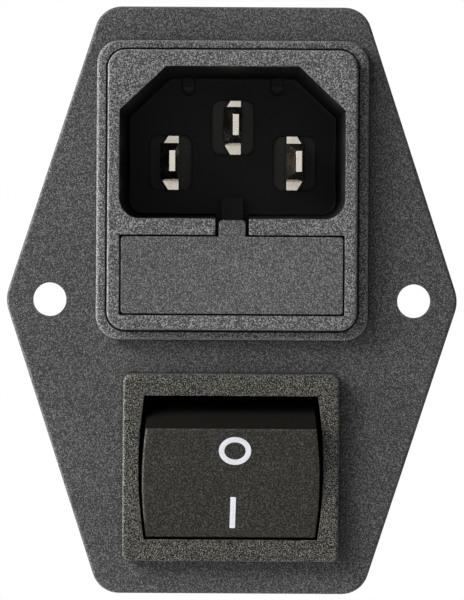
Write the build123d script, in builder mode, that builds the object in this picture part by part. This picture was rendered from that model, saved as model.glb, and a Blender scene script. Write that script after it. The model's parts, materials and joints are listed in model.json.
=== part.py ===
from build123d import *
from math import cos, radians, sin, tan
import os

# Power entry module: a six-sided mounting plate that carries a fused mains inlet and a
# two-pole rocker switch, both snapped in from the front. Millimetres. +Z is up and -Y
# faces the user. The origin is on the plate's rear face, halfway between the screw holes.
os.makedirs("parts", exist_ok=True)

# Mounting plate
plate_height = 64.4
plate_width = 49.8  # across the side points, as if they were sharp
plate_end_width = 28.8  # top and bottom edges, as if their corners were sharp
plate_thick = 2.0
plate_corner_r = 3.0
plate_point_r = 3.8
plate_edge_r = 0.35
screw_pitch = 40.0
screw_hole_d = 3.7
cutout_gap = 0.2  # around each snap-in body

# Inlet housing
inlet_z = 12.05
flange_width = 29.8
flange_height = 32.8
flange_corner_r = 2.6
flange_rise = 1.5
flange_edge_r = 0.4
face_width = 27.3
face_height = 30.6
face_corner_r = 2.0
face_rise = 3.0
face_edge_r = 0.3
groove_width = 0.25
groove_depth = 0.3
inlet_body_width = 26.6
inlet_body_height = 30.2
inlet_body_r = 1.2
inlet_body_depth = 19.0
inlet_wall = 1.6
room_corner_r = 0.6

# Plug socket in the inlet
socket_z = 17.23
socket_width = 24.7
socket_height = 16.65
socket_chamfer_width = 5.1
socket_chamfer_height = 4.8
socket_bend_r = 2.5
socket_corner_r = 2.25
socket_depth = 16.0
socket_draft = 2.0
socket_floor = 2.0
socket_floor_r = 0.35
pocket_width = 4.85
pocket_height = 6.2
pocket_r = 1.0
pocket_depth = 0.8
core_slot_spacing = 10.0
core_slot_width = 1.5
core_slot_length = 2.0  # from the socket's ceiling down
core_slot_depth = 1.0

# Inlet pins and their tabs
pins_z = 17.35  # halfway up between the outer pins and the earth pin
pin_spacing = 14.0
pin_drop = 2.0  # outer pins below that height, and earth pin above it
pin_thick = 2.0
pin_width = 4.0
pin_setback = 5.5
earth_setback = 4.7
tip_length = 1.6
tip_land_width = 0.65
tip_land_height = 2.3
tip_land_shift = 0.35
shoulder_width = 1.85
shoulder_height = 6.1
shoulder_cut = 0.65
shoulder_proud = 0.6
tab_width = 4.8
tab_thick = 0.8
tab_point = 0.9
tab_hole_d = 1.5
inlet_tab_reach = 8.0

# Fuse drawer
drawer_z = 2.75
drawer_face_width = 24.2
drawer_face_height = 8.4
drawer_face_thick = 1.6
drawer_face_gap = 0.2
drawer_face_r = 0.4
drawer_gap = 0.15
chamber_width = 23.4
chamber_height = 7.5
chamber_end_wall = 1.0
drawer_wall = 0.9
spare_room = 6.0
grip_width = 2.9
grip_rise = 1.8
grip_r = 0.4
slot_width = 3.7
spine_width = 2.5
interlock_thick = 2.0
interlock_height = 11.5
interlock_gap = 0.2
cradle_width = 13.2
cradle_gap = 0.1
jaw_drop = 1.25

# Glass fuse and its contacts
fuse_length = 20.0
fuse_cap_d = 5.2
fuse_cap_length = 5.5
fuse_cap_wall = 0.2
fuse_glass_d = 4.7
fuse_glass_wall = 0.6
fuse_wire_d = 0.3
fuse_y = 8.0
fork_width = 2.6
fork_thick = 0.4
fork_gap = 0.2
fork_reach = 2.0
fork_flare = 0.5
fork_x = 8.6
strip_thick = 0.8
strip_y = 14.4

# Inlet rear cover
cover_thick = 1.5
cover_edge = 0.5
cover_rim = 1.2
cover_rim_wall = 1.0
cover_gap = 0.1

# Switch housing
switch_z = -18.29
bezel_width = 23.7
bezel_height = 20.5
bezel_corner_r = 0.9
bezel_rise = 2.0
bezel_edge_r = 0.35
well_mid_width = 20.2
well_bow_r = 51.0
well_height = 15.72
switch_body_width = 21.6
switch_body_height = 18.6
switch_body_r = 0.8
switch_floor = 2.2
pole_wall = 1.2
pole_wall_setback = 5.0

# Rocker
rocker_tilt = 12.0
rocker_face_length = 12.24
rocker_face_height = 8.15  # pivot to the ends of the face
rocker_dish = 0.35
rocker_mid_width = 19.44
rocker_bow_r = 46.0
rocker_depth = 7.2
rocker_wall = 1.2
rocker_side_wall = 1.3
rocker_edge_r = 0.3
rocker_sink = 0.24  # pressed edge below the bezel
ear_r = 2.6
ear_thick = 1.2
trunnion_d = 3.0
trunnion_reach = 1.0
trunnion_gap = 0.05

# Plungers and springs
pole_spacing = 10.0
post_d = 4.6
post_reach = 3.2
post_bore_d = 3.0
post_roof = 1.4
plunger_gap = 0.06
tip_r = 1.3
tip_centre = 8.0
plunger_hold = 3.2
spigot_d = 1.6
spigot_length = 1.0
spring_wire_d = 0.35
spring_wire_sides = 6
spring_gap = 0.1
spring_pitch = 1.1

# Contact levers, contacts and switch terminals
lever_tilt = 12.0
lever_thick = 0.5
lever_width = 3.0
lever_arm = 5.8
lever_play = 0.3
fulcrum_r = 0.4  # rib across the lever, turning in the fulcrum's groove
fulcrum_play = 0.05
contact_offset = 4.4
contact_d = 2.6
contact_thick = 0.5
contact_rim = 0.15
contact_gap = 0.05
switched_tab_offset = 5.8
switched_foot_height = 3.6
stop_offset = 4.6
stop_thick = 0.8
switch_tab_reach = 9.0

# Snap tongues
tongue_thick = 0.7
tongue_recess = 0.9
tongue_hook = 0.9
tongue_clear = 0.2
hook_seat_depth = 0.6  # recess in the plate's rear face, round each hook
hook_seat_gap = 0.3
hook_play = 0.1
inlet_tongue_width = 8.0
inlet_tongue_length = 10.0
switch_tongue_width = 6.0
switch_tongue_length = 9.0

# Levels along Y worked out from the sizes above
plate_front = -plate_thick
flange_front = plate_front - flange_rise
face_front = plate_front - face_rise
socket_floor_y = face_front + socket_depth
socket_ceiling = socket_z + socket_height / 2 - socket_depth * tan(radians(socket_draft))
room_y = socket_floor_y + socket_floor
chamber_end_y = room_y - chamber_end_wall
cover_y = inlet_body_depth + cover_thick
bezel_front = plate_front - bezel_rise
pressed_edge = rocker_face_height * cos(radians(rocker_tilt)) - rocker_face_length / 2 * sin(
    radians(rocker_tilt)
)
pivot_y = bezel_front + rocker_sink + pressed_edge
lever_front_y = pivot_y + tip_centre + (tip_r + lever_play) / cos(radians(lever_tilt))
lever_axis_y = lever_front_y + lever_thick
fixed_contact_y = lever_axis_y + contact_thick + contact_gap
foot_y = fixed_contact_y + contact_thick
switch_floor_y = foot_y + tab_thick
switch_rear_y = switch_floor_y + switch_floor
outer_pin_z = pins_z - pin_drop
earth_pin_z = pins_z + pin_drop
drawer_top = drawer_z + chamber_height / 2 - drawer_gap


def facing(y, z=0.0):
    """A plane across Y that looks forward, with sketch axes X and Z."""
    return Plane(origin=(0, y, z), x_dir=(1, 0, 0), z_dir=(0, -1, 0))


def side(x=0.0):
    """A plane across X, with sketch axes Y and Z."""
    return Plane.YZ.offset(x)


def add_block(x, y, z, mode=Mode.ADD):
    """Put a box between two values on each axis into the part that is being built."""
    with BuildSketch(facing(y[0])) as outline:
        with Locations(((x[0] + x[1]) / 2, (z[0] + z[1]) / 2)):
            Rectangle(x[1] - x[0], z[1] - z[0])
    extrude(outline.sketch, amount=y[0] - y[1], mode=mode)


def snap_tongue(wall_z, outward, width, length):
    """A springy tongue on an end wall, rooted at its rear, hooked into its seat in the plate."""
    front = hook_play - hook_seat_depth
    root = front + length
    add_block(
        (-width / 2 - tongue_clear, width / 2 + tongue_clear),
        (front - tongue_clear, root),
        sorted((wall_z, wall_z - outward * tongue_recess)),
        Mode.SUBTRACT,
    )
    with BuildSketch(side()) as outline:
        with BuildLine():
            Polyline(
                (root + tongue_thick, wall_z),
                (front + tongue_thick, wall_z + outward * tongue_hook),
                (front, wall_z + outward * tongue_hook),
                (front, wall_z - outward * (tongue_thick - tongue_hook / 2)),
                (root, wall_z - outward * tongue_thick),
                (root + tongue_thick, wall_z - outward * tongue_thick),
                close=True,
            )
        make_face()
    extrude(outline.sketch, amount=width / 2, both=True)


def quick_tab(x, z, start, end, upright=True):
    """A quick-connect tab along Y with a pointed end and a hole."""
    plane = Plane(origin=(x, 0, z), x_dir=(0, 1, 0), z_dir=(1, 0, 0) if upright else (0, 0, 1))
    with BuildSketch(plane) as outline:
        with BuildLine():
            Polyline(
                (start, -tab_width / 2),
                (end - tab_point, -tab_width / 2),
                (end, -tab_width / 2 + tab_point),
                (end, tab_width / 2 - tab_point),
                (end - tab_point, tab_width / 2),
                (start, tab_width / 2),
                close=True,
            )
        make_face()
        with Locations((end - tab_width / 2 - tab_point, 0)):
            Circle(tab_hole_d / 2, mode=Mode.SUBTRACT)
    extrude(outline.sketch, amount=tab_thick / 2, both=True)


def barrel(mid_width, bow_r, height):
    """An outline with straight ends and bowed sides, centred on the sketch's origin."""
    half = height / 2
    end_half = mid_width / 2 - (bow_r - (bow_r**2 - half**2) ** 0.5)
    with BuildLine() as outline:
        ThreePointArc((end_half, -half), (mid_width / 2, 0), (end_half, half))
        Line((end_half, half), (-end_half, half))
        ThreePointArc((-end_half, half), (-mid_width / 2, 0), (-end_half, -half))
        Line((-end_half, -half), (end_half, -half))
    return make_face(outline.edges())


# Mounting plate
with BuildPart() as mounting_plate:
    with BuildSketch(facing(0)) as plate_outline:
        with BuildLine():
            Polyline(
                (plate_end_width / 2, plate_height / 2),
                (plate_width / 2, 0),
                (plate_end_width / 2, -plate_height / 2),
                (-plate_end_width / 2, -plate_height / 2),
                (-plate_width / 2, 0),
                (-plate_end_width / 2, plate_height / 2),
                close=True,
            )
        make_face()
        fillet(plate_outline.vertices().group_by(Axis.Y)[-1], plate_corner_r)
        fillet(plate_outline.vertices().group_by(Axis.Y)[0], plate_corner_r)
        fillet(
            [plate_outline.vertices().sort_by(Axis.X)[0], plate_outline.vertices().sort_by(Axis.X)[-1]],
            plate_point_r,
        )
    extrude(amount=plate_thick)
    fillet(mounting_plate.faces().sort_by(Axis.Y)[0].edges(), plate_edge_r)
    with BuildSketch(facing(0)):
        with Locations((0, inlet_z)):
            RectangleRounded(
                inlet_body_width + 2 * cutout_gap,
                inlet_body_height + 2 * cutout_gap,
                inlet_body_r,
            )
        with Locations((0, switch_z)):
            RectangleRounded(
                switch_body_width + 2 * cutout_gap,
                switch_body_height + 2 * cutout_gap,
                switch_body_r,
            )
        with GridLocations(screw_pitch, 0, 2, 1):
            Circle(screw_hole_d / 2)
    extrude(amount=plate_thick, mode=Mode.SUBTRACT)
    with BuildSketch(facing(0)):
        seat_margin = tongue_hook + hook_seat_gap
        with Locations((0, inlet_z)):
            Rectangle(
                inlet_tongue_width + 2 * tongue_clear,
                inlet_body_height + 2 * seat_margin,
            )
        with Locations((0, switch_z)):
            Rectangle(
                switch_tongue_width + 2 * tongue_clear,
                switch_body_height + 2 * seat_margin,
            )
    extrude(amount=hook_seat_depth, mode=Mode.SUBTRACT)
mounting_plate.part.label = "mounting_plate"
export_step(mounting_plate.part, "parts/mounting_plate.step")


def socket_outline():
    """The plug socket's mouth: chamfered top corners and rounded bottom ones."""
    half_w = socket_width / 2
    half_h = socket_height / 2
    with BuildLine() as outline:
        Polyline(
            (-half_w, -half_h),
            (half_w, -half_h),
            (half_w, half_h - socket_chamfer_height),
            (half_w - socket_chamfer_width, half_h),
            (-half_w + socket_chamfer_width, half_h),
            (-half_w, half_h - socket_chamfer_height),
            close=True,
        )
    return make_face(outline.edges())


pin_places = [
    (-pin_spacing / 2, outer_pin_z),
    (0, earth_pin_z),
    (pin_spacing / 2, outer_pin_z),
]
fork_places = [(-fork_x, drawer_z), (fork_x, drawer_z)]
tab_slot_places = [
    (-pin_spacing / 2, outer_pin_z),
    (0, earth_pin_z),
    (-fork_x, drawer_z),
]
body_bottom = inlet_z - inlet_body_height / 2
body_top = inlet_z + inlet_body_height / 2

# Inlet housing: stepped bezel, plug socket, fuse drawer chamber and terminal room
with BuildPart() as inlet_housing:
    with BuildSketch(facing(plate_front)):
        with Locations((0, inlet_z)):
            RectangleRounded(flange_width, flange_height, flange_corner_r)
    extrude(amount=flange_rise)
    fillet(inlet_housing.faces().sort_by(Axis.Y)[0].edges(), flange_edge_r)
    with BuildSketch(facing(plate_front)):
        with Locations((0, inlet_z)):
            RectangleRounded(face_width, face_height, face_corner_r)
    extrude(amount=face_rise)
    fillet(inlet_housing.faces().sort_by(Axis.Y)[0].edges(), face_edge_r)
    with BuildSketch(facing(flange_front)):
        with Locations((0, inlet_z)):
            RectangleRounded(
                face_width + 2 * groove_width,
                face_height + 2 * groove_width,
                face_corner_r + groove_width,
            )
            RectangleRounded(face_width, face_height, face_corner_r, mode=Mode.SUBTRACT)
    extrude(amount=-groove_depth, mode=Mode.SUBTRACT)
    with BuildSketch(facing(plate_front)):
        with Locations((0, inlet_z)):
            RectangleRounded(inlet_body_width, inlet_body_height, inlet_body_r)
    extrude(amount=plate_front - inlet_body_depth)

    # Plug socket, narrowing inwards, seen from the front as a hood with two cut corners
    with BuildSketch(Plane(origin=(0, face_front, socket_z), x_dir=(-1, 0, 0), z_dir=(0, 1, 0))):
        mouth = socket_outline()
        bends = mouth.vertices()
        fillet(bends.group_by(Axis.Y)[0], socket_corner_r)
        fillet(bends.group_by(Axis.Y)[1] + bends.group_by(Axis.Y)[-1], socket_bend_r)
    extrude(amount=socket_depth, taper=socket_draft, mode=Mode.SUBTRACT)
    floor = inlet_housing.faces().filter_by_position(Axis.Y, socket_floor_y, socket_floor_y)
    fillet(floor.edges(), socket_floor_r)
    with BuildSketch(facing(socket_floor_y)):
        with Locations(*pin_places):
            RectangleRounded(pocket_width, pocket_height, pocket_r)
    extrude(amount=-pocket_depth, mode=Mode.SUBTRACT)
    with BuildSketch(facing(socket_floor_y - socket_floor_r)):
        straight = core_slot_length - core_slot_width / 2
        with GridLocations(core_slot_spacing, 0, 2, 1):
            with Locations((0, socket_ceiling - straight / 2)):
                Rectangle(core_slot_width, straight)
            with Locations((0, socket_ceiling - straight)):
                Circle(core_slot_width / 2)
    extrude(amount=-(core_slot_depth + socket_floor_r), mode=Mode.SUBTRACT)
    with BuildSketch(facing(socket_floor_y)):
        with Locations(*pin_places):
            Rectangle(pin_thick, pin_width)
    extrude(amount=-(room_y - socket_floor_y), mode=Mode.SUBTRACT)

    # Drawer chamber, its mouth for the drawer's face, and the slot its interlock runs in
    mouth_depth = drawer_face_thick + drawer_face_gap
    mouth_half_w = drawer_face_width / 2 + drawer_face_gap
    mouth_half_h = drawer_face_height / 2 + drawer_face_gap
    add_block(
        (-mouth_half_w, mouth_half_w),
        (face_front, face_front + mouth_depth),
        (drawer_z - mouth_half_h, drawer_z + mouth_half_h),
        Mode.SUBTRACT,
    )
    add_block(
        (-chamber_width / 2, chamber_width / 2),
        (face_front, chamber_end_y),
        (drawer_z - chamber_height / 2, drawer_z + chamber_height / 2),
        Mode.SUBTRACT,
    )
    add_block(
        (-slot_width / 2, slot_width / 2),
        (face_front, socket_floor_y),
        (drawer_z, socket_z - socket_height / 2 + socket_corner_r / 2),
        Mode.SUBTRACT,
    )
    with BuildSketch(facing(chamber_end_y)):
        with Locations(*fork_places):
            Rectangle(fork_width, strip_thick)
    extrude(amount=-chamber_end_wall, mode=Mode.SUBTRACT)

    # Terminal room, open at the rear
    with BuildSketch(facing(inlet_body_depth)):
        with Locations((0, inlet_z)):
            RectangleRounded(
                inlet_body_width - 2 * inlet_wall,
                inlet_body_height - 2 * inlet_wall,
                room_corner_r,
            )
    extrude(amount=inlet_body_depth - room_y, mode=Mode.SUBTRACT)
    snap_tongue(body_top, 1, inlet_tongue_width, inlet_tongue_length)
    snap_tongue(body_bottom, -1, inlet_tongue_width, inlet_tongue_length)
inlet_housing.part.label = "inlet_housing"
export_step(inlet_housing.part, "parts/inlet_housing.step")

# Inlet rear cover: a plate with a locating rim and slots for the three tabs
with BuildPart() as inlet_rear_cover:
    room_width = inlet_body_width - 2 * inlet_wall - 2 * cover_gap
    room_height = inlet_body_height - 2 * inlet_wall - 2 * cover_gap
    with BuildSketch(facing(inlet_body_depth)):
        with Locations((0, inlet_z)):
            RectangleRounded(inlet_body_width, inlet_body_height, inlet_body_r)
    extrude(amount=-cover_thick)
    with BuildSketch(facing(inlet_body_depth)):
        with Locations((0, inlet_z)):
            RectangleRounded(room_width, room_height, room_corner_r - cover_gap)
            Rectangle(
                room_width - 2 * cover_rim_wall,
                room_height - 2 * cover_rim_wall,
                mode=Mode.SUBTRACT,
            )
    extrude(amount=cover_rim)
    chamfer(inlet_rear_cover.faces().sort_by(Axis.Y)[-1].edges(), cover_edge)
    with BuildSketch(facing(inlet_body_depth)):
        with Locations(*tab_slot_places):
            Rectangle(tab_thick + 2 * cover_gap, tab_width + 2 * cover_gap)
    extrude(amount=-cover_thick, mode=Mode.SUBTRACT)
inlet_rear_cover.part.label = "inlet_rear_cover"
export_step(inlet_rear_cover.part, "parts/inlet_rear_cover.step")


def inlet_pin(x, z, setback, cut_side, blade_end):
    """A flat pin with a tapered tip and a collar whose corners are cut on one side."""
    tip_y = face_front + setback
    with BuildSketch(facing(tip_y)) as land:
        with Locations((x + tip_land_shift, z)):
            Rectangle(tip_land_width, tip_land_height)
    with BuildSketch(facing(tip_y + tip_length)) as blade:
        with Locations((x, z)):
            Rectangle(pin_thick, pin_width)
    loft(sections=[land.sketch, blade.sketch])
    extrude(blade.sketch, amount=tip_y + tip_length - blade_end)
    half_w = shoulder_width / 2
    half_h = shoulder_height / 2
    with BuildSketch(facing(socket_floor_y - shoulder_proud)) as collar:
        with BuildLine():
            Polyline(
                (x - cut_side * half_w, z - half_h),
                (x + cut_side * (half_w - shoulder_cut), z - half_h),
                (x + cut_side * half_w, z - pin_width / 2),
                (x + cut_side * half_w, z + pin_width / 2),
                (x + cut_side * (half_w - shoulder_cut), z + half_h),
                (x - cut_side * half_w, z + half_h),
                close=True,
            )
        make_face()
    extrude(collar.sketch, amount=-(shoulder_proud + pocket_depth))


# Neutral pin, with its own tab
with BuildPart() as neutral_pin:
    inlet_pin(-pin_spacing / 2, outer_pin_z, pin_setback, -1, room_y)
    quick_tab(-pin_spacing / 2, outer_pin_z, room_y, cover_y + inlet_tab_reach)
neutral_pin.part.label = "neutral_pin"
export_step(neutral_pin.part, "parts/neutral_pin.step")

# Earth pin, longer to the front, with its own tab
with BuildPart() as earth_pin:
    inlet_pin(0, earth_pin_z, earth_setback, -1, room_y)
    quick_tab(0, earth_pin_z, room_y, cover_y + inlet_tab_reach)
earth_pin.part.label = "earth_pin"
export_step(earth_pin.part, "parts/earth_pin.step")

# Line pin, which ends at the strip to the fuse
with BuildPart() as line_pin:
    inlet_pin(pin_spacing / 2, outer_pin_z, pin_setback, 1, strip_y)
line_pin.part.label = "line_pin"
export_step(line_pin.part, "parts/line_pin.step")


def fuse_fork(x):
    """Two sprung legs round a fuse cap, joined behind it, with flared mouths."""
    leg = fuse_cap_d / 2 + fork_gap
    rear = chamber_end_y - fork_gap
    front = fuse_y - fork_reach
    with BuildSketch(side(x)) as outline:
        with BuildLine():
            Polyline(
                (front - fork_flare, drawer_z + leg + fork_flare / 2),
                (front, drawer_z + leg),
                (rear - fork_thick, drawer_z + leg),
                (rear - fork_thick, drawer_z - leg),
                (front, drawer_z - leg),
                (front - fork_flare, drawer_z - leg - fork_flare / 2),
                (front - fork_flare, drawer_z - leg - fork_flare / 2 - fork_thick),
                (front, drawer_z - leg - fork_thick),
                (rear, drawer_z - leg - fork_thick),
                (rear, drawer_z + leg + fork_thick),
                (front, drawer_z + leg + fork_thick),
                (front - fork_flare, drawer_z + leg + fork_flare / 2 + fork_thick),
                close=True,
            )
        make_face()
    extrude(outline.sketch, amount=fork_width / 2, both=True)


# Contact between the line pin and the fuse: fork, stem and upright strip
with BuildPart() as fuse_contact_inner:
    fuse_fork(fork_x)
    strip_top = outer_pin_z + pin_width / 2
    add_block(
        (fork_x - fork_width / 2, fork_x + fork_width / 2),
        (chamber_end_y - fork_gap, strip_y + strip_thick),
        (drawer_z - strip_thick / 2, drawer_z + strip_thick / 2),
    )
    add_block(
        (pin_spacing / 2 - pin_thick / 2, fork_x + fork_width / 2),
        (strip_y, strip_y + strip_thick),
        (drawer_z - strip_thick / 2, strip_top),
    )
fuse_contact_inner.part.label = "fuse_contact_inner"
export_step(fuse_contact_inner.part, "parts/fuse_contact_inner.step")

# Contact at the fuse's other end, which carries the line tab
with BuildPart() as fuse_contact_outer:
    fuse_fork(-fork_x)
    add_block(
        (-fork_x - fork_width / 2, -fork_x + fork_width / 2),
        (chamber_end_y - fork_gap, room_y + strip_thick),
        (drawer_z - strip_thick / 2, drawer_z + strip_thick / 2),
    )
    quick_tab(-fork_x, drawer_z, room_y, cover_y + inlet_tab_reach)
fuse_contact_outer.part.label = "fuse_contact_outer"
export_step(fuse_contact_outer.part, "parts/fuse_contact_outer.step")

# Fuse drawer: face with a finger tab, spare fuse room, fuse cradle and plug interlock
cradle_r = fuse_cap_d / 2 + cradle_gap
spare_end_y = face_front + drawer_face_thick + spare_room
cradle_end_y = fuse_y + cradle_r + drawer_wall
drawer_bottom = drawer_z - chamber_height / 2 + drawer_gap
with BuildPart() as fuse_drawer:
    with BuildSketch(facing(face_front + drawer_face_thick)):
        with Locations((0, drawer_z)):
            RectangleRounded(drawer_face_width, drawer_face_height, drawer_face_r)
    extrude(amount=drawer_face_thick)
    with BuildSketch(facing(face_front + drawer_face_thick)):
        with Locations((0, drawer_z + drawer_face_height / 2)):
            RectangleRounded(grip_width, 2 * grip_rise, grip_r)
    extrude(amount=drawer_face_thick)
    half_w = chamber_width / 2 - drawer_gap
    add_block(
        (-half_w, half_w),
        (face_front + drawer_face_thick, spare_end_y + drawer_wall),
        (drawer_bottom, drawer_top),
    )
    add_block(
        (-half_w + drawer_wall, half_w - drawer_wall),
        (face_front + drawer_face_thick, spare_end_y),
        (drawer_bottom, drawer_top - drawer_wall),
        Mode.SUBTRACT,
    )
    add_block(
        (-cradle_width / 2, cradle_width / 2),
        (spare_end_y, cradle_end_y),
        (drawer_z - jaw_drop, drawer_top),
    )
    with BuildSketch(side()):
        with Locations((fuse_y, drawer_z)):
            Circle(cradle_r)
    extrude(amount=cradle_width / 2, both=True, mode=Mode.SUBTRACT)
    interlock_end = socket_floor_y - interlock_gap
    add_block(
        (-spine_width / 2, spine_width / 2),
        (face_front + drawer_face_thick, interlock_end),
        (drawer_top - drawer_wall, drawer_z + drawer_face_height / 2 + grip_rise),
    )
    with BuildSketch(facing(interlock_end)):
        with Locations((0, (drawer_top + interlock_height) / 2)):
            RectangleRounded(spine_width, interlock_height - drawer_top, grip_r)
    extrude(amount=interlock_thick)
fuse_drawer.part.label = "fuse_drawer"
export_step(fuse_drawer.part, "parts/fuse_drawer.step")

# Fuse: glass tube, two end caps and the wire between them
with BuildPart() as fuse_glass:
    with BuildSketch(side()):
        with Locations((fuse_y, drawer_z)):
            Circle(fuse_glass_d / 2)
            Circle(fuse_glass_d / 2 - fuse_glass_wall, mode=Mode.SUBTRACT)
    extrude(amount=fuse_length / 2 - fuse_cap_wall, both=True)
fuse_glass.part.label = "fuse_glass"
export_step(fuse_glass.part, "parts/fuse_glass.step")


def fuse_cap(end):
    """A cup over one end of the glass; end is 1 or -1 along X."""
    plane = Plane(origin=(end * fuse_length / 2, fuse_y, drawer_z), z_dir=(-end, 0, 0))
    with BuildSketch(plane) as disc:
        Circle(fuse_cap_d / 2)
    extrude(disc.sketch, amount=fuse_cap_length)
    with BuildSketch(plane.offset(fuse_cap_wall)) as bore:
        Circle(fuse_cap_d / 2 - fuse_cap_wall)
    extrude(bore.sketch, amount=fuse_cap_length, mode=Mode.SUBTRACT)


for end, name in ((-1, "fuse_cap_left"), (1, "fuse_cap_right")):
    with BuildPart() as cap:
        fuse_cap(end)
    cap.part.label = name
    export_step(cap.part, f"parts/{name}.step")

with BuildPart() as fuse_wire:
    with BuildSketch(side()):
        with Locations((fuse_y, drawer_z)):
            Circle(fuse_wire_d / 2)
    extrude(amount=fuse_length / 2 - fuse_cap_wall, both=True)
fuse_wire.part.label = "fuse_wire"
export_step(fuse_wire.part, "parts/fuse_wire.step")

# Switch housing: bezel, barrel-shaped well, trunnion holes, floor with slots and stops
pole_places = [-pole_spacing / 2, pole_spacing / 2]
with BuildPart() as switch_housing:
    with BuildSketch(facing(plate_front)):
        with Locations((0, switch_z)):
            RectangleRounded(bezel_width, bezel_height, bezel_corner_r)
    extrude(amount=bezel_rise)
    fillet(switch_housing.faces().sort_by(Axis.Y)[0].edges(), bezel_edge_r)
    with BuildSketch(facing(plate_front)):
        with Locations((0, switch_z)):
            RectangleRounded(switch_body_width, switch_body_height, switch_body_r)
    extrude(amount=plate_front - switch_rear_y)
    with BuildSketch(facing(bezel_front, switch_z)):
        barrel(well_mid_width, well_bow_r, well_height)
    extrude(amount=bezel_front - switch_floor_y, mode=Mode.SUBTRACT)
    with BuildSketch(side()):
        with Locations((pivot_y, switch_z)):
            Circle(trunnion_d / 2 + trunnion_gap)
    extrude(amount=switch_body_width, both=True, mode=Mode.SUBTRACT)
    add_block(
        (-pole_wall / 2, pole_wall / 2),
        (pivot_y + pole_wall_setback, switch_floor_y),
        (switch_z - well_height / 2, switch_z + well_height / 2),
    )
    for x in pole_places:
        add_block(
            (x - lever_width / 2, x + lever_width / 2),
            (lever_axis_y + fulcrum_play, switch_floor_y),
            (switch_z - stop_offset - stop_thick / 2, switch_z - stop_offset + stop_thick / 2),
        )
        for z in (switch_z, switch_z + switched_tab_offset):
            add_block(
                (x - tab_width / 2, x + tab_width / 2),
                (switch_floor_y, switch_rear_y),
                (z - tab_thick / 2, z + tab_thick / 2),
                Mode.SUBTRACT,
            )
    snap_tongue(switch_z + switch_body_height / 2, 1, switch_tongue_width, switch_tongue_length)
    snap_tongue(switch_z - switch_body_height / 2, -1, switch_tongue_width, switch_tongue_length)
switch_housing.part.label = "switch_housing"
export_step(switch_housing.part, "parts/switch_housing.step")


def tilted_side(y, z, angle, x=0.0):
    """A plane across X through a point, its axes turned by an angle about X."""
    turn = radians(angle)
    return Plane(origin=(x, y, z), x_dir=(0, cos(turn), sin(turn)), z_dir=(1, 0, 0))


def tilted_front(y, z, angle):
    """A plane through a point, looking forward, turned by an angle about X."""
    turn = radians(angle)
    return Plane(origin=(0, y, z), x_dir=(1, 0, 0), z_dir=(0, -cos(turn), -sin(turn)))


# Rocker: dished face, leaning end walls, hollow beneath, two spring posts and trunnions
rocker_side = tilted_side(pivot_y, switch_z, rocker_tilt)
rocker_front = tilted_front(pivot_y, switch_z, rocker_tilt)
lean = radians(rocker_tilt)
half_face = rocker_face_length / 2
half_base = half_face + rocker_depth * tan(lean)
inner_face = rocker_face_height - rocker_dish - rocker_wall
inner_half = half_face - rocker_wall
inner_base = inner_half + inner_face * tan(lean)
inner_width = rocker_mid_width - 2 * rocker_side_wall
with BuildPart() as rocker:
    with BuildSketch(rocker_side):
        with BuildLine():
            ThreePointArc(
                (-rocker_face_height, -half_face),
                (-rocker_face_height + rocker_dish, 0),
                (-rocker_face_height, half_face),
            )
            Polyline(
                (-rocker_face_height, half_face),
                (-rocker_face_height + rocker_depth, half_base),
                (-rocker_face_height + rocker_depth, -half_base),
                (-rocker_face_height, -half_face),
            )
        make_face()
    extrude(amount=rocker_mid_width, both=True)
    with BuildSketch(rocker_front):
        barrel(rocker_mid_width, rocker_bow_r, 2 * half_base)
    extrude(amount=2 * rocker_face_height, both=True, mode=Mode.INTERSECT)
    face = rocker.faces().sort_by(Axis.Y)[0]
    fillet(face.edges(), rocker_edge_r)
    with BuildSketch(rocker_side):
        Circle(ear_r)
    extrude(amount=inner_width / 2 + ear_thick, both=True)
    with BuildSketch(rocker_side):
        with BuildLine():
            Polyline(
                (-inner_face, inner_half),
                (ear_r, inner_base),
                (ear_r, -inner_base),
                (-inner_face, -inner_half),
                close=True,
            )
        make_face()
    extrude(amount=inner_width / 2, both=True, mode=Mode.SUBTRACT)
    with BuildSketch(rocker_front.offset(-post_reach)):
        with Locations(*[(x, 0) for x in pole_places]):
            Circle(post_d / 2)
    extrude(amount=post_reach + inner_face)
    with BuildSketch(rocker_front.offset(-post_reach)):
        with Locations(*[(x, 0) for x in pole_places]):
            Circle(post_bore_d / 2)
    extrude(amount=post_reach + inner_face - post_roof, mode=Mode.SUBTRACT)
    for outward in (-1, 1):
        with BuildSketch(rocker_side.offset(outward * inner_width / 2)):
            Circle(trunnion_d / 2)
        extrude(amount=outward * (ear_thick + trunnion_reach))
rocker.part.label = "rocker"
export_step(rocker.part, "parts/rocker.step")


def plunger(x):
    """A plunger in a rocker post: spring spigot, sliding barrel, shank and ball tip."""
    barrel_r = post_bore_d / 2 - plunger_gap
    barrel_end = post_reach - plunger_hold
    with BuildSketch(tilted_side(pivot_y, switch_z, rocker_tilt, x)) as outline:
        with BuildLine():
            Polyline(
                (tip_centre, tip_r),
                (post_reach, tip_r),
                (post_reach, barrel_r),
                (barrel_end, barrel_r),
                (barrel_end, spigot_d / 2),
                (barrel_end - spigot_length, spigot_d / 2),
                (barrel_end - spigot_length, 0),
                (tip_centre + tip_r, 0),
            )
            CenterArc((tip_centre, 0), tip_r, 0, 90)
        make_face()
    axis = Axis((x, pivot_y, switch_z), (0, cos(radians(rocker_tilt)), sin(radians(rocker_tilt))))
    revolve(outline.sketch, axis=axis)


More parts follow.
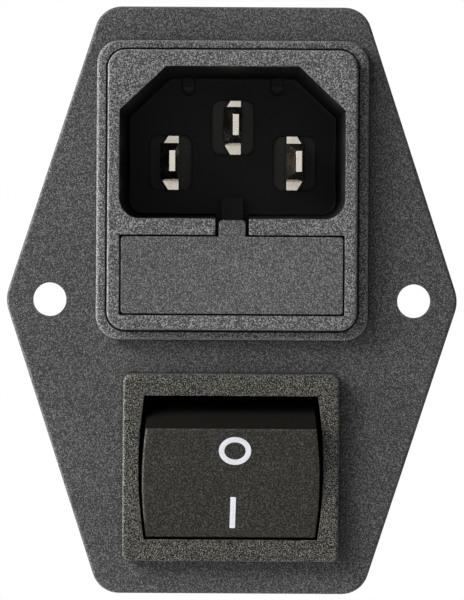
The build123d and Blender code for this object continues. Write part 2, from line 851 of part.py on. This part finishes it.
def plunger_spring(x):
    """A coil between the plunger's barrel and the roof of its post."""
    coil_r = post_bore_d / 2 - spring_gap - spring_wire_d / 2
    start = post_reach - plunger_hold - spring_wire_d / 2
    length = inner_face - post_roof + start - spring_wire_d / 2
    turn = radians(rocker_tilt)
    inward = Vector(0, -cos(turn), -sin(turn))
    foot = Vector(x, pivot_y, switch_z) - inward * start
    with BuildLine() as path:
        Helix(spring_pitch, length, coil_r, center=foot, direction=inward)
    with BuildSketch(Plane(origin=path.line @ 0, z_dir=path.line % 0)) as wire:
        RegularPolygon(spring_wire_d / 2, spring_wire_sides)
    sweep(wire.sketch, path=path.line, is_frenet=True)


def contact_lever(x):
    """A shallow V of sprung strip with a rib to rock on, one arm level at each limit."""
    rise = lever_arm * sin(radians(lever_tilt))
    span = lever_arm * cos(radians(lever_tilt))
    with BuildSketch(tilted_side(lever_axis_y, switch_z, -lever_tilt, x)) as outline:
        with BuildLine():
            Polyline(
                (0, 0),
                (-rise, span),
                (-rise - lever_thick, span),
                (-lever_thick, 0),
                (-rise - lever_thick, -span),
                (-rise, -span),
                close=True,
            )
        make_face()
        Circle(fulcrum_r)
    extrude(outline.sketch, amount=lever_width / 2, both=True)


def contact_button(x, back, front):
    """A contact disc from its back to its touching face, which has a chamfered rim."""
    z = switch_z + contact_offset
    rim = contact_rim if front > back else -contact_rim
    with BuildSketch(side(x)) as outline:
        with BuildLine():
            Polyline(
                (back, z),
                (back, z + contact_d / 2),
                (front - rim, z + contact_d / 2),
                (front, z + contact_d / 2 - contact_rim),
                (front, z),
                close=True,
            )
        make_face()
    revolve(outline.sketch, axis=Axis((x, 0, z), (0, 1, 0)))


def common_terminal(x):
    """The lever's fulcrum, with a groove for its rib, and a quick-connect tab in one strip."""
    add_block(
        (x - lever_width / 2, x + lever_width / 2),
        (lever_axis_y, switch_floor_y),
        (switch_z - tab_thick / 2, switch_z + tab_thick / 2),
    )
    with BuildSketch(side(x)) as groove:
        with Locations((lever_axis_y, switch_z)):
            Circle(fulcrum_r + fulcrum_play)
    extrude(groove.sketch, amount=lever_width, both=True, mode=Mode.SUBTRACT)
    quick_tab(x, switch_z, switch_floor_y, switch_rear_y + switch_tab_reach, upright=False)


def switched_terminal(x):
    """A foot under the fixed contact, bent into a quick-connect tab."""
    tab_z = switch_z + switched_tab_offset
    add_block(
        (x - lever_width / 2, x + lever_width / 2),
        (foot_y, switch_floor_y),
        (switch_z + contact_offset - contact_d / 2, tab_z + tab_thick / 2),
    )
    quick_tab(x, tab_z, switch_floor_y, switch_rear_y + switch_tab_reach, upright=False)


# The moving and fixed pieces of each pole, left and right
pole_pieces = {
    "plunger": plunger,
    "plunger_spring": plunger_spring,
    "contact_lever": contact_lever,
    "moving_contact": lambda x: contact_button(x, lever_axis_y, lever_axis_y + contact_thick),
    "fixed_contact": lambda x: contact_button(x, foot_y, fixed_contact_y),
    "common_terminal": common_terminal,
    "switched_terminal": switched_terminal,
}
for x, hand in zip(pole_places, ("left", "right")):
    for kind, make in pole_pieces.items():
        with BuildPart() as piece:
            make(x)
        piece.part.label = f"{kind}_{hand}"
        export_step(piece.part, f"parts/{kind}_{hand}.step")
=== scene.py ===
import json
from math import cos, pi, radians, sin, sqrt

import bpy
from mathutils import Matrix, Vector


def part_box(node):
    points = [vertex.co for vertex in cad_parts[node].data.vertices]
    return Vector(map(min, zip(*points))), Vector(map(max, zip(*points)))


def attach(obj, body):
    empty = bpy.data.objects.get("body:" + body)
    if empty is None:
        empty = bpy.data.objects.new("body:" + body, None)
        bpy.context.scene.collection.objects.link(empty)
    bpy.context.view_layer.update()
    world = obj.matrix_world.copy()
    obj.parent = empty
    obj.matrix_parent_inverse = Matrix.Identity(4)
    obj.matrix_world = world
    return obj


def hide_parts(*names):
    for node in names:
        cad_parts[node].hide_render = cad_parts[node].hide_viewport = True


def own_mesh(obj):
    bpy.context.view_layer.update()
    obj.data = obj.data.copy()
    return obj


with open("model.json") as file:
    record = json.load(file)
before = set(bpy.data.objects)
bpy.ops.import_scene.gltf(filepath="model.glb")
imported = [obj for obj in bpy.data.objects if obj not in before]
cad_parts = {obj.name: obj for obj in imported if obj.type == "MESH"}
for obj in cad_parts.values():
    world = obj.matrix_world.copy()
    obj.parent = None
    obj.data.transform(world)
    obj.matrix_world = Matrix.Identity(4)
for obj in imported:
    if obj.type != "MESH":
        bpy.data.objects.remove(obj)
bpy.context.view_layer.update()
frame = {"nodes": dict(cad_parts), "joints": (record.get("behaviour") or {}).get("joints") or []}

MM = 0.001


def new_object(name, data):
    """An object made of some data, in the scene."""
    made = bpy.data.objects.new(name, data)
    bpy.context.scene.collection.objects.link(made)
    return made


def add_node(tree, kind, inputs=None, **settings):
    """A new shader node; an input is a value or another node's output."""
    node = tree.nodes.new(kind)
    for name, value in settings.items():
        setattr(node, name, value)
    for name, value in (inputs or {}).items():
        if isinstance(value, bpy.types.NodeSocket):
            tree.links.new(value, node.inputs[name])
        else:
            node.inputs[name].default_value = value
    return node


# Materials

RAYS = 6  # rays that the rounding of an edge and the openness of a spot are found with


class Look:
    """A node material in the making, with helpers that add and link its nodes."""

    def __init__(self, name):
        self.material = bpy.data.materials.new(name)
        self.material.use_nodes = True
        self.nodes = self.material.node_tree.nodes
        self.links = self.material.node_tree.links
        self.shader = self.nodes["Principled BSDF"]
        self.place = self.add("ShaderNodeTexCoord").outputs["Object"]

    def add(self, kind, inputs=None, **settings):
        """A new node of this material."""
        return add_node(self.material.node_tree, kind, inputs, **settings)

    def noise(self, size_mm, detail=1.5, stretch=(1, 1, 1)):
        """Soft noise with patches of a size, drawn out along an axis by a stretch over 1."""
        place = self.place
        if stretch != (1, 1, 1):
            scale = [1 / s for s in stretch]
            place = self.add("ShaderNodeMapping", {"Vector": place, "Scale": scale}).outputs[0]
        inputs = {"Vector": place, "Scale": 1 / (size_mm * MM), "Detail": detail}
        return self.add("ShaderNodeTexNoise", inputs).outputs[0]

    def range(self, value, low, high, to_low, to_high):
        """A value brought from one range to another and held inside it."""
        inputs = {
            "Value": value,
            "From Min": low,
            "From Max": high,
            "To Min": to_low,
            "To Max": to_high,
        }
        return self.add("ShaderNodeMapRange", inputs).outputs[0]

    def math(self, operation, a, b):
        """One step of arithmetic on two values."""
        return self.add("ShaderNodeMath", {0: a, 1: b}, operation=operation).outputs[0]

    def vector(self, operation, a, b):
        """One step of arithmetic on two vectors."""
        node = self.add("ShaderNodeVectorMath", {0: a, 1: b}, operation=operation)
        return node.outputs["Value" if operation == "DOT_PRODUCT" else "Vector"]

    def scaled(self, vector, share):
        """A vector or colour times a number."""
        inputs = {0: vector, "Scale": share}
        return self.add("ShaderNodeVectorMath", inputs, operation="SCALE").outputs[0]

    def edges(self, radius_mm, on=1.0):
        """The normal rounded over sharp edges where on is 1, and a mask that is 1 on them."""
        bevel = self.add("ShaderNodeBevel", {"Radius": radius_mm * MM}, samples=RAYS).outputs[0]
        flat = self.add("ShaderNodeNewGeometry").outputs["Normal"]
        mask = self.range(self.vector("DOT_PRODUCT", bevel, flat), 0.998, 0.9, 0, 1)
        turn = self.scaled(self.vector("SUBTRACT", bevel, flat), on)
        return self.vector("ADD", flat, turn), self.math("MULTIPLY", mask, on)

    def roundings(self):
        """A mask that is 1 on the roundings between faces to the front and walls that run back."""
        normal = self.add("ShaderNodeTexCoord").outputs["Normal"]
        depth = self.add("ShaderNodeSeparateXYZ", {"Vector": normal}).outputs["Y"]
        facing = self.math("ABSOLUTE", depth, 0)
        from_walls = self.range(facing, 0.25, 0.5, 0, 1)
        from_faces = self.range(facing, 0.85, 0.93, 1, 0)
        return self.math("MULTIPLY", from_walls, from_faces)

    def turned_from(self, front):
        """A mask that is 1 where the surface turns away from a direction by over 60 degrees."""
        normal = self.add("ShaderNodeTexCoord").outputs["Normal"]
        return self.range(self.vector("DOT_PRODUCT", normal, front), 0.5, 0.75, 1, 0)

    def open_air(self, reach_mm):
        """How open the surface is: 1 on flats and edges, about a half in a square corner."""
        inputs = {"Distance": reach_mm * MM}
        return self.add("ShaderNodeAmbientOcclusion", inputs, samples=RAYS).outputs["AO"]

    def pits(self, size_mm):
        """The distance from the middles of many small cells."""
        inputs = {"Vector": self.place, "Scale": 1 / (size_mm * MM)}
        return self.add("ShaderNodeTexVoronoi", inputs).outputs["Distance"]

    def inside(self, low, high, soft_mm=0.1):
        """A mask that is 1 inside a box, with a soft border; None leaves a side open."""
        axes = self.add("ShaderNodeSeparateXYZ", {"Vector": self.place}).outputs
        soft = soft_mm * MM
        mask = None
        for axis, lowest, highest in zip(axes, low, high):
            for limit, ends in ((lowest, (0, 1)), (highest, (1, 0))):
                if limit is None:
                    continue
                part = self.range(axis, limit - soft, limit + soft, *ends)
                mask = part if mask is None else self.math("MULTIPLY", mask, part)
        return mask

    def blend(self, mask, outside, inside):
        """One value outside a mask and another inside it."""
        return self.add("ShaderNodeMix", {"Factor": mask, "A": outside, "B": inside}).outputs[0]

    def specks(self, spacing_mm, radius_mm, share):
        """A mask of small round specks, in a share of the cells of a scatter."""
        inputs = {"Vector": self.place, "Scale": 1 / (spacing_mm * MM)}
        scatter = self.add("ShaderNodeTexVoronoi", inputs)
        size = radius_mm / spacing_mm
        dot = self.range(scatter.outputs["Distance"], size * 0.5, size, 1, 0)
        pick = self.add("ShaderNodeSeparateColor", {"Color": scatter.outputs["Color"]}).outputs[0]
        return self.math("MULTIPLY", dot, self.math("LESS_THAN", pick, share))

    def tint(self, colour, *shades):
        """A colour times each of several shades, as the base colour."""
        shade = shades[0]
        for other in shades[1:]:
            shade = self.math("MULTIPLY", shade, other)
        self.links.new(self.scaled(colour, shade), self.shader.inputs["Base Color"])

    def roughness(self, rough):
        """A value as the surface's roughness."""
        self.links.new(rough, self.shader.inputs["Roughness"])

    def relief(self, height, depth_mm, normal):
        """Bumps of a depth over a normal, as the surface's normal."""
        inputs = {"Height": height, "Distance": depth_mm * MM, "Normal": normal, "Strength": 1.0}
        bump = self.add("ShaderNodeBump", inputs).outputs[0]
        self.links.new(bump, self.shader.inputs["Normal"])


# The mouldings, with sizes in mm
CLOUD_SIZE = 11  # the faint patches in shade and gloss
CREASE_REACH = 0.4  # how far painted shade reaches from a wall over the foot of its neighbour
MOULD_ROUNDING = 0.16
DUST_SPACING = 0.7
DUST_RADIUS = 0.085
DUST_SHADE = 2.6


def moulded_plastic(
    name, colour, grain, fleck, depth, rough,
    gloss=0.12, edge_highlight=0.3, dust=0.0, polish_and_shade=(), front=None, smooth_rough=0.36,
):
    """Moulded plastic with a spark-eroded grain: size and depth in mm, fleck as its contrast.

    Polished steel has moulded what is in the given boxes, each with its shade, and, where a
    front is given with a shade, what turns away from it: it has no grain, is glossier and takes
    that shade, which is painted shade where it darkens. Creases get painted shade, edges and
    roundings a painted highlight, and the grain's bright flecks are partly painted glints.
    Dust is the share of places that have a pale speck."""
    look = Look(name)
    look.shader.inputs["Specular IOR Level"].default_value = gloss
    coarse = look.noise(grain * 1.5, detail=2)
    cloud = look.noise(CLOUD_SIZE, detail=3)
    # bright flecks of the grain: its own tone, partly painted glints where facets catch the light
    grit = look.range(look.noise(grain, detail=1), 0.36, 0.64, 0, 1)
    grain_glint = look.math("POWER", grit, 2.5)
    fleck_shade = look.range(grain_glint, 0, 1, 1 - 0.4 * fleck, 1 + fleck)
    mottle = look.range(coarse, 0.3, 0.7, 1 - 0.08 * fleck, 1 + 0.08 * fleck)
    relief = look.math("SUBTRACT", coarse, look.math("MULTIPLY", look.pits(grain), 0.5))
    openness = look.open_air(CREASE_REACH)
    raised = look.range(openness, 0.75, 0.95, 0, 1)
    # painted shade: darker in creases and at the feet of walls, where the surface is less open
    painted_crease_shade = look.range(openness, 0.5, 0.75, 0.15, 1)
    bevel, sharp = look.edges(MOULD_ROUNDING, raised)
    edge = look.math("MAXIMUM", sharp, look.math("MULTIPLY", look.roundings(), raised))
    cloud_shade = look.range(cloud, 0.3, 0.7, 0.93, 1.07)
    # painted highlight: edges and roundings that stand out are brightened; the lower roughness on
    # them is wear
    edge_wear_and_highlight = look.range(edge, 0, 1, 1, 1 + edge_highlight)
    worn = look.range(edge, 0, 1, 0, 0.16)
    uneven = look.math("ADD", look.range(cloud, 0.3, 0.7, -0.05, 0.05), rough)
    polish_and_shade_masks = [(look.inside(low, high), shade) for low, high, shade in polish_and_shade]
    if front:
        direction, shade = front
        polish_and_shade_masks.append((look.turned_from(direction), shade))
    # the polished areas lose the grain and take their shade, which is painted shade where it
    # darkens
    for polish_and_shade_mask, shade in polish_and_shade_masks:
        fleck_shade = look.blend(polish_and_shade_mask, fleck_shade, shade)
        mottle = look.blend(polish_and_shade_mask, mottle, 1.0)
        relief = look.blend(polish_and_shade_mask, relief, 0.5)
        uneven = look.blend(polish_and_shade_mask, uneven, smooth_rough)
    shades = [fleck_shade, mottle, cloud_shade, edge_wear_and_highlight, painted_crease_shade]
    if dust:
        speck = look.specks(DUST_SPACING, DUST_RADIUS, dust)
        shades.append(look.range(speck, 0, 1, 1, DUST_SHADE))
    look.tint(colour, *shades)
    look.roughness(look.math("SUBTRACT", uneven, worn))
    look.relief(relief, depth, bevel)
    return look.material


def plated_metal(name, colour, rough, stretch, stain=0.12, depth=0.004):
    """Rolled and plated strip: drawn-out scratches, faint stains and brighter worn edges."""
    look = Look(name)
    look.shader.inputs["Metallic"].default_value = 1.0
    lines = look.noise(0.09, detail=3, stretch=stretch)
    cloud = look.noise(1.6, detail=3)
    bevel, edge = look.edges(0.08)
    line_shade = look.range(lines, 0.3, 0.7, 0.93, 1.05)
    stain_shade = look.range(cloud, 0.35, 0.7, 1.0, 1 - stain)
    edge_wear_and_highlight = look.range(edge, 0, 1, 1, 1.12)
    look.tint(colour, line_shade, stain_shade, edge_wear_and_highlight)
    streak = look.range(lines, 0.3, 0.7, -0.06, 0.08)
    smear = look.range(cloud, 0.3, 0.7, rough - 0.04, rough + 0.08)
    look.roughness(look.math("ADD", streak, smear))
    look.relief(lines, depth, bevel)
    return look.material


def clear_glass(name, stretch):
    """Thin drawn glass with faint streaks along the tube."""
    look = Look(name)
    look.shader.inputs["Transmission Weight"].default_value = 1.0
    look.shader.inputs["IOR"].default_value = 1.5
    streaks = look.noise(0.4, detail=2, stretch=stretch)
    look.tint((0.95, 0.98, 0.97), look.range(streaks, 0.3, 0.7, 0.97, 1.0))
    look.roughness(look.range(streaks, 0.3, 0.7, 0.02, 0.08))
    bevel, _ = look.edges(0.1)
    look.relief(streaks, 0.003, bevel)
    return look.material


def printed_ink(name):
    """White pad-printed ink, slightly uneven, with the grain of the face under it."""
    look = Look(name)
    film = look.noise(0.16, detail=3)
    patch = look.noise(1.3, detail=2)
    film_shade = look.range(film, 0.3, 0.7, 0.93, 1.04)
    patch_shade = look.range(patch, 0.3, 0.7, 0.96, 1.03)
    look.tint((0.78, 0.78, 0.82), film_shade, patch_shade)
    look.roughness(look.range(film, 0.3, 0.7, 0.5, 0.65))
    bevel, _ = look.edges(0.04)
    look.relief(film, 0.004, bevel)
    return look.material


# Colours of bare metal
NICKEL = (0.92, 0.87, 0.75)
BRASS = (0.78, 0.60, 0.32)
TINNED = (0.74, 0.72, 0.66)
SILVER = (0.88, 0.87, 0.84)
STEEL = (0.56, 0.56, 0.55)

# The ways in which scratches and streaks are drawn out
ALONG_DEPTH = (1, 14, 1)
ALONG_CAPS = (14, 1, 1)
ALONG_GLASS = (8, 1, 1)
ALONG_SPRINGS = (1, 4, 1)
EVERY_WAY = (1, 1, 1)

# Where polished steel moulded the plastic: two corners, and a shade. None leaves a side open.
# The dark shades of the socket, the rocker's well and the drawer behind its face are painted
# shade; the pockets keep the plain tone, and behind the plate the shade is the smooth plastic's own
# tone.
SKIN = 0.2 * MM
SOCKET_HALF = 12.6 * MM
SOCKET_LOW, SOCKET_HIGH = -1.9 * MM, 25.8 * MM
POCKETS_HALF = 10 * MM
POCKETS_LOW, POCKETS_HIGH = 11 * MM, 24 * MM
POCKETS_START, POCKETS_END = 16.2 * MM, 17 * MM  # behind the front of the inlet
WELL_HALF = 10.3 * MM
WELL_LOW, WELL_HIGH = -26.3 * MM, -10.2 * MM
WELL_FLOOR = 2 * MM  # in front of the rear of the switch housing
DRAWER_FACE = 1.0 * MM

OPEN_SIDES = (None, None, None)
ROCKER_TILT = radians(12)
rocker_out = Vector((0, -cos(ROCKER_TILT), -sin(ROCKER_TILT)))
plate_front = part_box("mounting_plate")[0].y
inlet_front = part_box("inlet_housing")[0].y
switch_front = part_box("switch_housing")[0].y
pockets_rear = inlet_front + POCKETS_END
well_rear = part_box("switch_housing")[1].y - WELL_FLOOR
behind_plate = ((None, plate_front + SKIN, None), OPEN_SIDES)
inlet_polish_and_shade = (
    (*behind_plate, 0.32),
    # the socket, darkened with painted shade
    (
        (-SOCKET_HALF, inlet_front + SKIN, SOCKET_LOW),
        (SOCKET_HALF, pockets_rear, SOCKET_HIGH),
        0.12,
    ),
    # the pockets round the pins, spared the socket's painted shade
    (
        (-POCKETS_HALF, inlet_front + POCKETS_START, POCKETS_LOW),
        (POCKETS_HALF, pockets_rear, POCKETS_HIGH),
        1.0,
    ),
)
switch_polish_and_shade = (
    (*behind_plate, 0.5),
    # the rocker's well, darkened with painted shade
    ((-WELL_HALF, switch_front + SKIN, WELL_LOW), (WELL_HALF, well_rear, WELL_HIGH), 0.15),
)
# the drawer behind its face: smooth moulding, darkened with painted shade for its post in the
# socket
drawer_polish_and_shade = (((None, inlet_front + DRAWER_FACE, None), OPEN_SIDES, 0.18),)

looks = {
    "plate_plastic": moulded_plastic(
        "plate_moulding", (0.073, 0.073, 0.073),
        grain=0.12, fleck=1.3, depth=0.012, rough=0.6,
    ),
    "inlet_plastic": moulded_plastic(
        "inlet_moulding", (0.118, 0.118, 0.117),
        grain=0.115, fleck=1.6, depth=0.012, rough=0.52, polish_and_shade=inlet_polish_and_shade,
    ),
    "cover_plastic": moulded_plastic(
        "cover_moulding", (0.030, 0.030, 0.031),
        grain=0.35, fleck=0.15, depth=0.012, rough=0.45,
    ),
    "drawer_plastic": moulded_plastic(
        "drawer_moulding", (0.095, 0.095, 0.0945),
        grain=0.105, fleck=1.2, depth=0.01, rough=0.55, polish_and_shade=drawer_polish_and_shade,
    ),
    "bezel_plastic": moulded_plastic(
        "bezel_moulding", (0.067, 0.0652, 0.0578),
        grain=0.115, fleck=2.4, depth=0.012, rough=0.52, polish_and_shade=switch_polish_and_shade,
    ),
    # the rocker: its end walls, turned away from its face, take painted shade, and its ridge and
    # edges a strong painted highlight; its pale specks are dust
    "rocker_plastic": moulded_plastic(
        "rocker_moulding", (0.0335, 0.032, 0.0271),
        grain=0.16, fleck=1.2, depth=0.004, rough=0.42,
        edge_highlight=1.3, dust=0.2, front=(rocker_out, 0.2),
    ),
    "plunger_plastic": moulded_plastic(
        "plunger_moulding", (0.62, 0.60, 0.54),
        grain=0.4, fleck=0.05, depth=0.004, rough=0.4,
    ),
    "pin_nickel": plated_metal("pin_plating", NICKEL, 0.22, ALONG_DEPTH),
    "cap_nickel": plated_metal("cap_plating", NICKEL, 0.2, ALONG_CAPS),
    "contact_brass": plated_metal("contact_strip", BRASS, 0.3, ALONG_DEPTH),
    "tab_brass": plated_metal("tab_strip", TINNED, 0.28, ALONG_DEPTH),
    "contact_silver": plated_metal("contact_rivet", SILVER, 0.25, EVERY_WAY),
    "spring_steel": plated_metal("spring_wire", STEEL, 0.25, ALONG_SPRINGS),
    "fuse_glass": clear_glass("tube_glass", ALONG_GLASS),
}
for node in frame["nodes"].values():
    for place in node.material_slots:
        place.material = looks[place.material.name]


# Plunger springs, copied and carried with the rocker


def coil_spring(side):
    """A copy of a plunger's spring that stands for it and goes with the rocker."""
    node = frame["nodes"][f"plunger_spring_{side}"]
    spring = new_object(f"coil_{side}", node.data.copy())
    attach(spring, "rocker")
    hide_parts(node.name)
    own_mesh(spring)


for side in ("left", "right"):
    coil_spring(side)


# Marks printed on the rocker's face, with places across and up the face from its middle

FACE_HEIGHT = 8.15 * MM  # pivot to the ends of the face
FACE_DISH = 0.35 * MM
FACE_HALF = 6.12 * MM
DISH_RADIUS = (FACE_HALF**2 + FACE_DISH**2) / (2 * FACE_DISH)
INK_THICK = 0.015 * MM
STROKE = 0.6 * MM
OFF_PLACE = (0.45 * MM, 3.66 * MM)
OFF_HALF_WIDTH, OFF_HALF_HEIGHT = 1.46 * MM, 1.29 * MM
ON_PLACE = (0.24 * MM, -3.29 * MM)
ON_LENGTH = 3.44 * MM
ON_LEAN = radians(1.6)
rocker_pivot = Vector(next(j["pos_m"] for j in frame["joints"] if j["name"] == "rocker_hinge"))
rocker_up = Vector((0, -sin(ROCKER_TILT), cos(ROCKER_TILT)))


def on_face(across, up, lift=0.0):
    """A point over the rocker's dished face, from its place across and up the face."""
    height = FACE_HEIGHT - FACE_DISH + DISH_RADIUS - sqrt(DISH_RADIUS**2 - up**2)
    return rocker_pivot + Vector((across, 0, 0)) + up * rocker_up + (height + lift) * rocker_out


def stroke(name, path, closed):
    """A printed line along a path on the face: places (across, up) and the line's sideways step."""
    sunk = -INK_THICK
    rim = 0.7 * INK_THICK
    profile = [(-1, sunk), (-1, rim), (-0.9, INK_THICK), (0.9, INK_THICK), (1, rim), (1, sunk)]
    verts = []
    for (across, up), (side_across, side_up) in path:
        for offset, lift in profile:
            reach = offset * STROKE / 2
            verts.append(on_face(across + reach * side_across, up + reach * side_up, lift))
    width = len(profile)
    count = len(path)
    faces = []
    for i in range(count if closed else count - 1):
        a, b = i * width, (i + 1) % count * width
        for k in range(width):
            nxt = (k + 1) % width
            faces.append((a + k, b + k, b + nxt, a + nxt))
    if not closed:
        faces.append(tuple(range(width)))
        faces.append(tuple(reversed(range((count - 1) * width, count * width))))
    mesh = bpy.data.meshes.new(name)
    mesh.from_pydata(verts, [], faces)
    mesh.validate()
    mesh.materials.append(ink)
    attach(new_object(name, mesh), "rocker")


def ring(centre, half_width, half_height, steps=96):
    """A path round an ellipse, with the outward step at each place."""
    path = []
    for i in range(steps):
        turn = 2 * pi * i / steps
        across, up = half_width * cos(turn), half_height * sin(turn)
        out = Vector((cos(turn) / half_width, sin(turn) / half_height)).normalized()
        path.append(((centre[0] + across, centre[1] + up), tuple(out)))
    return path


def bar(centre, length, lean, steps=24):
    """A straight path up the face, leaning to the right at its top."""
    along = Vector((sin(lean), cos(lean)))
    path = []
    for i in range(steps + 1):
        at = Vector(centre) + (0.5 - i / steps) * length * along
        path.append((tuple(at), (along.y, -along.x)))
    return path


ink = printed_ink("white_print")
stroke("off_mark", ring(OFF_PLACE, OFF_HALF_WIDTH, OFF_HALF_HEIGHT), closed=True)
stroke("on_mark", bar(ON_PLACE, ON_LENGTH, ON_LEAN), closed=False)


# Floor, below what shows from the photograph's angle

FLOOR_Z = -0.11
FLOOR_RADIUS = 0.5
FLOOR_FADE = (0.22, 0.42)  # where the lit floor gives way to plain white
FLOOR_SIDES = 128


def floor_look():
    """Pale matt floor that keeps shadows near the object and turns plain white further out."""
    look = Look("floor_paint")
    look.shader.inputs["Roughness"].default_value = 0.9
    look.tint((0.9, 0.9, 0.9), look.range(look.noise(30, detail=3), 0.3, 0.7, 0.985, 1.0))
    far = look.add("ShaderNodeVectorMath", {0: look.place}, operation="LENGTH").outputs["Value"]
    fade = look.range(far, *FLOOR_FADE, 0, 1)
    rays = look.add("ShaderNodeLightPath").outputs
    mirrored = look.math("MAXIMUM", rays["Is Glossy Ray"], rays["Is Transmission Ray"])
    seen = look.math("MAXIMUM", rays["Is Camera Ray"], mirrored)
    white = look.add("ShaderNodeEmission", {"Color": (1, 1, 1, 1), "Strength": 1.0})
    share = look.math("MULTIPLY", fade, seen)
    inputs = {0: share, 1: look.shader.outputs[0], 2: white.outputs[0]}
    mix = look.add("ShaderNodeMixShader", inputs)
    look.links.new(mix.outputs[0], look.nodes["Material Output"].inputs["Surface"])
    return look.material


floor_verts = [(0, 0, 0)]
for i in range(FLOOR_SIDES):
    turn = 2 * pi * i / FLOOR_SIDES
    floor_verts.append((FLOOR_RADIUS * cos(turn), FLOOR_RADIUS * sin(turn), 0))
floor_faces = [(0, 1 + i, 1 + (i + 1) % FLOOR_SIDES) for i in range(FLOOR_SIDES)]
floor_mesh = bpy.data.meshes.new("floor")
floor_mesh.from_pydata(floor_verts, [], floor_faces)
floor_mesh.materials.append(floor_look())
floor = new_object("floor", floor_mesh)
floor.location = (0, 0, FLOOR_Z)


# Light: soft lamps to the left and one behind, in a pale room that is dimmer on the right

LAMPS = (  # name, place and side in metres, power in watts
    ("key", (-0.62, -0.3, 0.41), 0.38, 5.6),
    ("upper", (-0.483, -0.492, 0.405), 0.38, 3.1),
    ("side", (-0.797, -0.07, 0.0), 0.36, 7.0),
    ("rear", (0.3, 0.85, 0.25), 0.5, 6.0),
)
ROOM_LIGHT = 0.02
BRIGHT_SIDE, DIM_SIDE = 0.9, 0.1
BRIGHT_END, DIM_END = -0.3, 1.0  # across the room, as the sideways part of a direction


def area_lamp(name, position, side, power):
    """A square lamp that faces the object."""
    data = bpy.data.lights.new(name, "AREA")
    data.shape = "SQUARE"
    data.size = side
    data.energy = power
    lamp = new_object(name, data)
    lamp.location = position
    lamp.rotation_euler = (-Vector(position)).to_track_quat("-Z", "Y").to_euler()


def room_light():
    """A white room as it is seen or looked through, and a dim one as it lights.

    In reflections it is nearly white on the left and dims to the right."""
    world = bpy.data.worlds.new("room")
    bpy.context.scene.world = world
    world.use_nodes = True
    tree = world.node_tree
    direction = add_node(tree, "ShaderNodeTexCoord").outputs["Generated"]
    axes = add_node(tree, "ShaderNodeSeparateXYZ", {0: direction}).outputs
    rays = add_node(tree, "ShaderNodeLightPath").outputs
    across = {"Value": axes["X"], "From Min": BRIGHT_END, "From Max": DIM_END}
    shades = {"To Min": BRIGHT_SIDE, "To Max": DIM_SIDE}
    reflected = add_node(tree, "ShaderNodeMapRange", across | shades).outputs[0]
    either = {0: rays["Is Camera Ray"], 1: rays["Is Transmission Ray"]}
    seen = add_node(tree, "ShaderNodeMath", either, operation="MAXIMUM").outputs[0]
    lights = {"Factor": rays["Is Glossy Ray"], "A": ROOM_LIGHT, "B": reflected}
    lit = add_node(tree, "ShaderNodeMix", lights).outputs[0]
    level = add_node(tree, "ShaderNodeMix", {"Factor": seen, "A": lit, "B": 1.0}).outputs[0]
    backdrop = tree.nodes["Background"]
    backdrop.inputs["Color"].default_value = (1, 1, 1, 1)
    tree.links.new(level, backdrop.inputs["Strength"])


for lamp in LAMPS:
    area_lamp(*lamp)
room_light()


# Camera at the photograph's angle: on the object's axis, a long lens, and a small drop shift

CAMERA_PLACE = (0, -0.442, 0.0042)
CAMERA_ROLL = radians(-0.33)
SENSOR_WIDTH = 36
LENS = 240.6
DROP_SHIFT = -0.0633
NEAREST, FURTHEST = 0.01, 20

camera_data = bpy.data.cameras.new("camera")
camera_data.sensor_width = SENSOR_WIDTH
camera_data.lens = LENS
camera_data.shift_y = DROP_SHIFT
camera_data.clip_start = NEAREST
camera_data.clip_end = FURTHEST
camera = new_object("camera", camera_data)
camera.location = CAMERA_PLACE
camera.rotation_euler = (radians(90), CAMERA_ROLL, 0)
bpy.context.scene.camera = camera

bpy.context.scene.view_settings.view_transform = "Standard"
